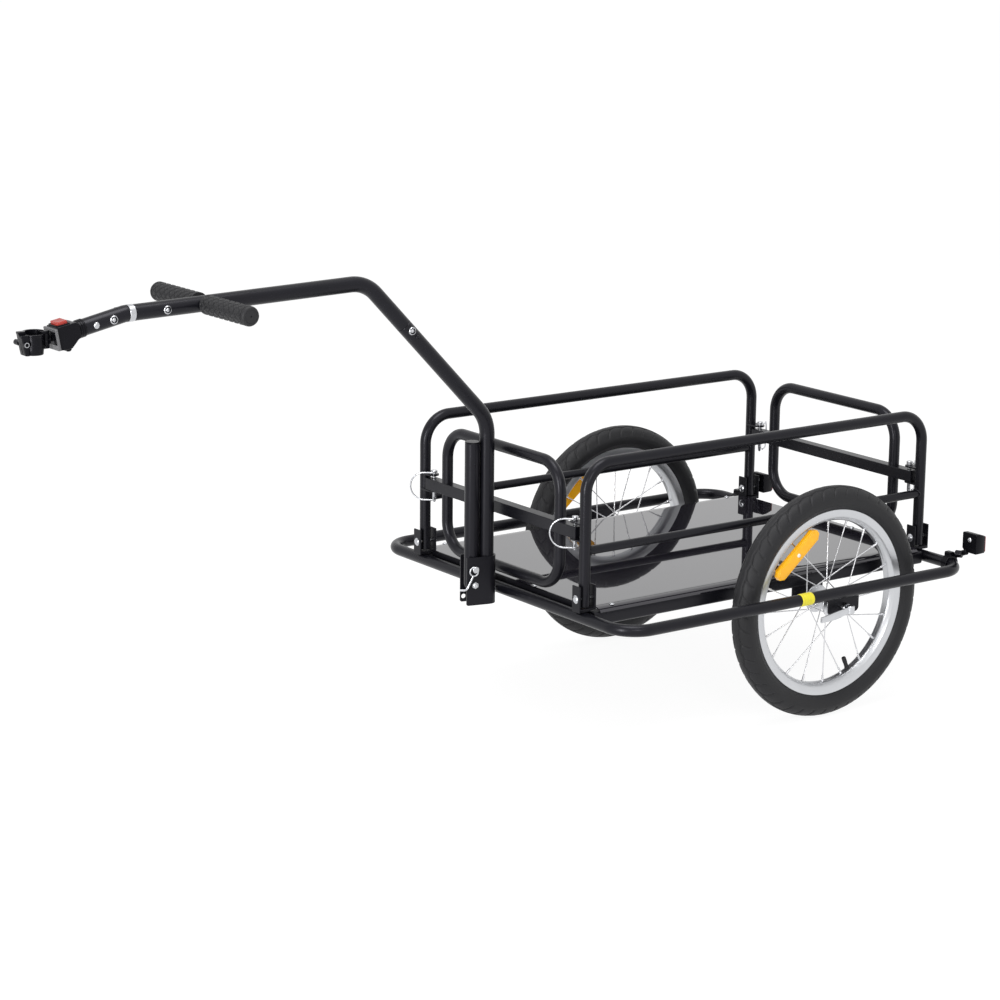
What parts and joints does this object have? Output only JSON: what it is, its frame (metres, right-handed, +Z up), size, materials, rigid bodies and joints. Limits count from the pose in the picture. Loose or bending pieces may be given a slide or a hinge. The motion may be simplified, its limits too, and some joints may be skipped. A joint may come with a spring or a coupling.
{
  "type": "bicycle cargo trailer",
  "caption": "Two-wheeled cargo trailer for a bicycle: flat glossy deck, tube sides, swinging end gates, swan-neck drawbar with grips, stand and seat-post hitch.",
  "frame": {"origin": "middle of the footprint, on the ground under the tyres", "axes": "+X along the trailer towards the hitch, +Y to the trailer's left, +Z up; the hitch end is +X"},
  "size_m": [1.6714, 0.721, 0.7806],
  "materials": {
    "frame_black": "gloss black enamel",
    "bracket_black": "satin black",
    "deck_gloss": "high gloss, nearly a mirror",
    "zinc": "bright zinc plate",
    "alloy": "satin",
    "rim_black": "satin silver",
    "tyre": "matt rubber with tread",
    "rubber": "matt moulded rubber",
    "plastic_black": "moulded, half gloss",
    "button_red": "moulded red",
    "amber": "faceted amber reflector",
    "reflector_black": "moulded, with a red lens"
  },
  "bodies": {
    "trailer_frame": {"outer_rail_loop": "frame_black", "inner_rail_left": "frame_black", "inner_rail_right": "frame_black", "side_hoop_left": "frame_black", "side_hoop_right": "frame_black", "drawbar_lower": "frame_black", "drawbar_upper": "frame_black", "hitch_tube": "frame_black", "deck_panel": "deck_gloss", "drawbar_bracket": "bracket_black", "foot_bracket_front_left": "bracket_black", "foot_bolt_front_left": "zinc", "foot_bracket_front_right": "bracket_black", "foot_bolt_front_right": "zinc", "foot_bracket_rear_left": "bracket_black", "foot_bolt_rear_left": "zinc", "foot_bracket_rear_right": "bracket_black", "foot_bolt_rear_right": "zinc", "handle_grip_left": "rubber", "axle_skewer_left": "zinc", "rear_reflector_left": "reflector_black", "handle_grip_right": "rubber", "axle_skewer_right": "zinc", "rear_reflector_right": "reflector_black", "drawbar_joint_bolt": "zinc", "drawbar_bracket_bolt": "zinc", "stand_pivot_bolt": "zinc", "hitch_connector": "zinc", "hitch_connector_bolt": "zinc", "hitch_block": "plastic_black"},
    "left_wheel": {"tyre_left": "tyre", "rim_left": "rim_black", "spoked_hub_left": "alloy", "valve_left": "rubber", "wheel_reflector_left": "amber"},
    "left_axle_lever": {"axle_lever_left": "alloy"},
    "right_wheel": {"tyre_right": "tyre", "rim_right": "rim_black", "spoked_hub_right": "alloy", "valve_right": "rubber", "wheel_reflector_right": "amber"},
    "right_axle_lever": {"axle_lever_right": "alloy"},
    "stand": {"stand_leg": "frame_black"},
    "stand_pin": {"stand_lock_pin": "zinc"},
    "front_gate_body": {"front_gate": "frame_black"},
    "rear_gate_body": {"rear_gate": "frame_black"},
    "front_left_pin": {"gate_pin_front_left": "zinc"},
    "front_left_bail": {"pin_bail_front_left": "zinc"},
    "front_right_pin": {"gate_pin_front_right": "zinc"},
    "front_right_bail": {"pin_bail_front_right": "zinc"},
    "rear_left_pin": {"gate_pin_rear_left": "zinc"},
    "rear_left_bail": {"pin_bail_rear_left": "zinc"},
    "rear_right_pin": {"gate_pin_rear_right": "zinc"},
    "rear_right_bail": {"pin_bail_rear_right": "zinc"},
    "release_button": {"hitch_release_button": "button_red"},
    "snap_button": {"drawbar_snap_button": "zinc"},
    "swivel": {"hitch_swivel": "plastic_black"},
    "clamp": {"clamp_base": "plastic_black"},
    "jaw": {"clamp_jaw": "plastic_black"},
    "jaw_bolt": {"clamp_bolt": "zinc"}
  },
  "joints": [
    {"name": "left_wheel_spin", "type": "hinge", "parent": "trailer_frame", "child": "left_wheel", "pos_m": [-0.52025, 0.29, 0.2], "axis": [0, 1, 0], "continuous": true},
    {"name": "left_axle_lever_turn", "type": "hinge", "parent": "trailer_frame", "child": "left_axle_lever", "pos_m": [-0.52025, 0.3538, 0.2], "axis": [0, 0, 1], "range_deg": [0, 160]},
    {"name": "right_wheel_spin", "type": "hinge", "parent": "trailer_frame", "child": "right_wheel", "pos_m": [-0.52025, -0.29, 0.2], "axis": [0, 1, 0], "continuous": true},
    {"name": "right_axle_lever_turn", "type": "hinge", "parent": "trailer_frame", "child": "right_axle_lever", "pos_m": [-0.52025, -0.3538, 0.2], "axis": [0, 0, -1], "range_deg": [0, 160]},
    {"name": "stand_swing", "type": "hinge", "parent": "trailer_frame", "child": "stand", "pos_m": [0.00503, -0.00607, 0.244], "axis": [0.2334, 0.9724, 0], "range_deg": [0, 162.5]},
    {"name": "stand_pin_pull", "type": "slide", "parent": "trailer_frame", "child": "stand_pin", "axis": [0.2334, 0.9724, 0], "range_m": [0, 0.045]},
    {"name": "front_gate_swing", "type": "hinge", "parent": "trailer_frame", "child": "front_gate_body", "pos_m": [-0.05325, 0.2, 0.368], "axis": [0, 0, 1], "range_deg": [-90, 0]},
    {"name": "rear_gate_swing", "type": "hinge", "parent": "trailer_frame", "child": "rear_gate_body", "pos_m": [-0.79225, -0.2, 0.368], "axis": [0, 0, 1], "range_deg": [-90, 0]},
    {"name": "front_left_pin_lift", "type": "slide", "parent": "trailer_frame", "child": "front_left_pin", "axis": [0, 0, 1], "range_m": [0, 0.055]},
    {"name": "front_left_bail_swing", "type": "hinge", "parent": "front_left_pin", "child": "front_left_bail", "pos_m": [-0.05325, 0.2, 0.38955], "axis": [-0.7071, -0.7071, 0], "range_deg": [0, 111]},
    {"name": "front_right_pin_lift", "type": "slide", "parent": "trailer_frame", "child": "front_right_pin", "axis": [0, 0, 1], "range_m": [0, 0.055]},
    {"name": "front_right_bail_swing", "type": "hinge", "parent": "front_right_pin", "child": "front_right_bail", "pos_m": [-0.05325, -0.2, 0.38955], "axis": [-0.7071, -0.7071, 0], "range_deg": [0, 111]},
    {"name": "rear_left_pin_lift", "type": "slide", "parent": "trailer_frame", "child": "rear_left_pin", "axis": [0, 0, 1], "range_m": [0, 0.055]},
    {"name": "rear_left_bail_swing", "type": "hinge", "parent": "rear_left_pin", "child": "rear_left_bail", "pos_m": [-0.79225, 0.2, 0.38955], "axis": [-0.7071, 0.7071, 0], "range_deg": [0, 111]},
    {"name": "rear_right_pin_lift", "type": "slide", "parent": "trailer_frame", "child": "rear_right_pin", "axis": [0, 0, 1], "range_m": [0, 0.055]},
    {"name": "rear_right_bail_swing", "type": "hinge", "parent": "rear_right_pin", "child": "rear_right_bail", "pos_m": [-0.79225, -0.2, 0.38955], "axis": [-0.7071, 0.7071, 0], "range_deg": [0, 111]},
    {"name": "release_button_press", "type": "slide", "parent": "trailer_frame", "child": "release_button", "axis": [0, 0, -1], "range_m": [0, 0.003], "stiffness_N_per_m": 300, "springref_m": -0.001},
    {"name": "snap_button_press", "type": "slide", "parent": "trailer_frame", "child": "snap_button", "axis": [0, -1, 0], "range_m": [0, 0.003], "stiffness_N_per_m": 300, "springref_m": -0.001},
    {"name": "hitch_roll", "type": "hinge", "parent": "trailer_frame", "child": "swivel", "pos_m": [0.77975, 0, 0.733], "axis": [1, 0, 0], "range_deg": [-45, 45]},
    {"name": "hitch_yaw", "type": "hinge", "parent": "swivel", "child": "clamp", "pos_m": [0.78275, 0, 0.733], "axis": [0, 0, 1], "range_deg": [-55, 55]},
    {"name": "clamp_bolt_loosen", "type": "slide", "parent": "clamp", "child": "jaw_bolt", "axis": [0, 1, 0], "range_m": [0, 0.0055]},
    {"name": "clamp_jaw_open", "type": "hinge", "parent": "clamp", "child": "jaw", "pos_m": [0.79075, 0.0006, 0.733], "axis": [0, 0, 1], "range_deg": [0, 7]}
  ],
  "couplings": [
    {"joint": "front_left_bail_swing", "follows": "front_left_pin_lift", "rad_per_m": 34.9},
    {"joint": "front_right_bail_swing", "follows": "front_right_pin_lift", "rad_per_m": 34.9},
    {"joint": "rear_left_bail_swing", "follows": "rear_left_pin_lift", "rad_per_m": 34.9},
    {"joint": "rear_right_bail_swing", "follows": "rear_right_pin_lift", "rad_per_m": 34.9},
    {"joint": "clamp_jaw_open", "follows": "clamp_bolt_loosen", "rad_per_m": 21.8}
  ]
}
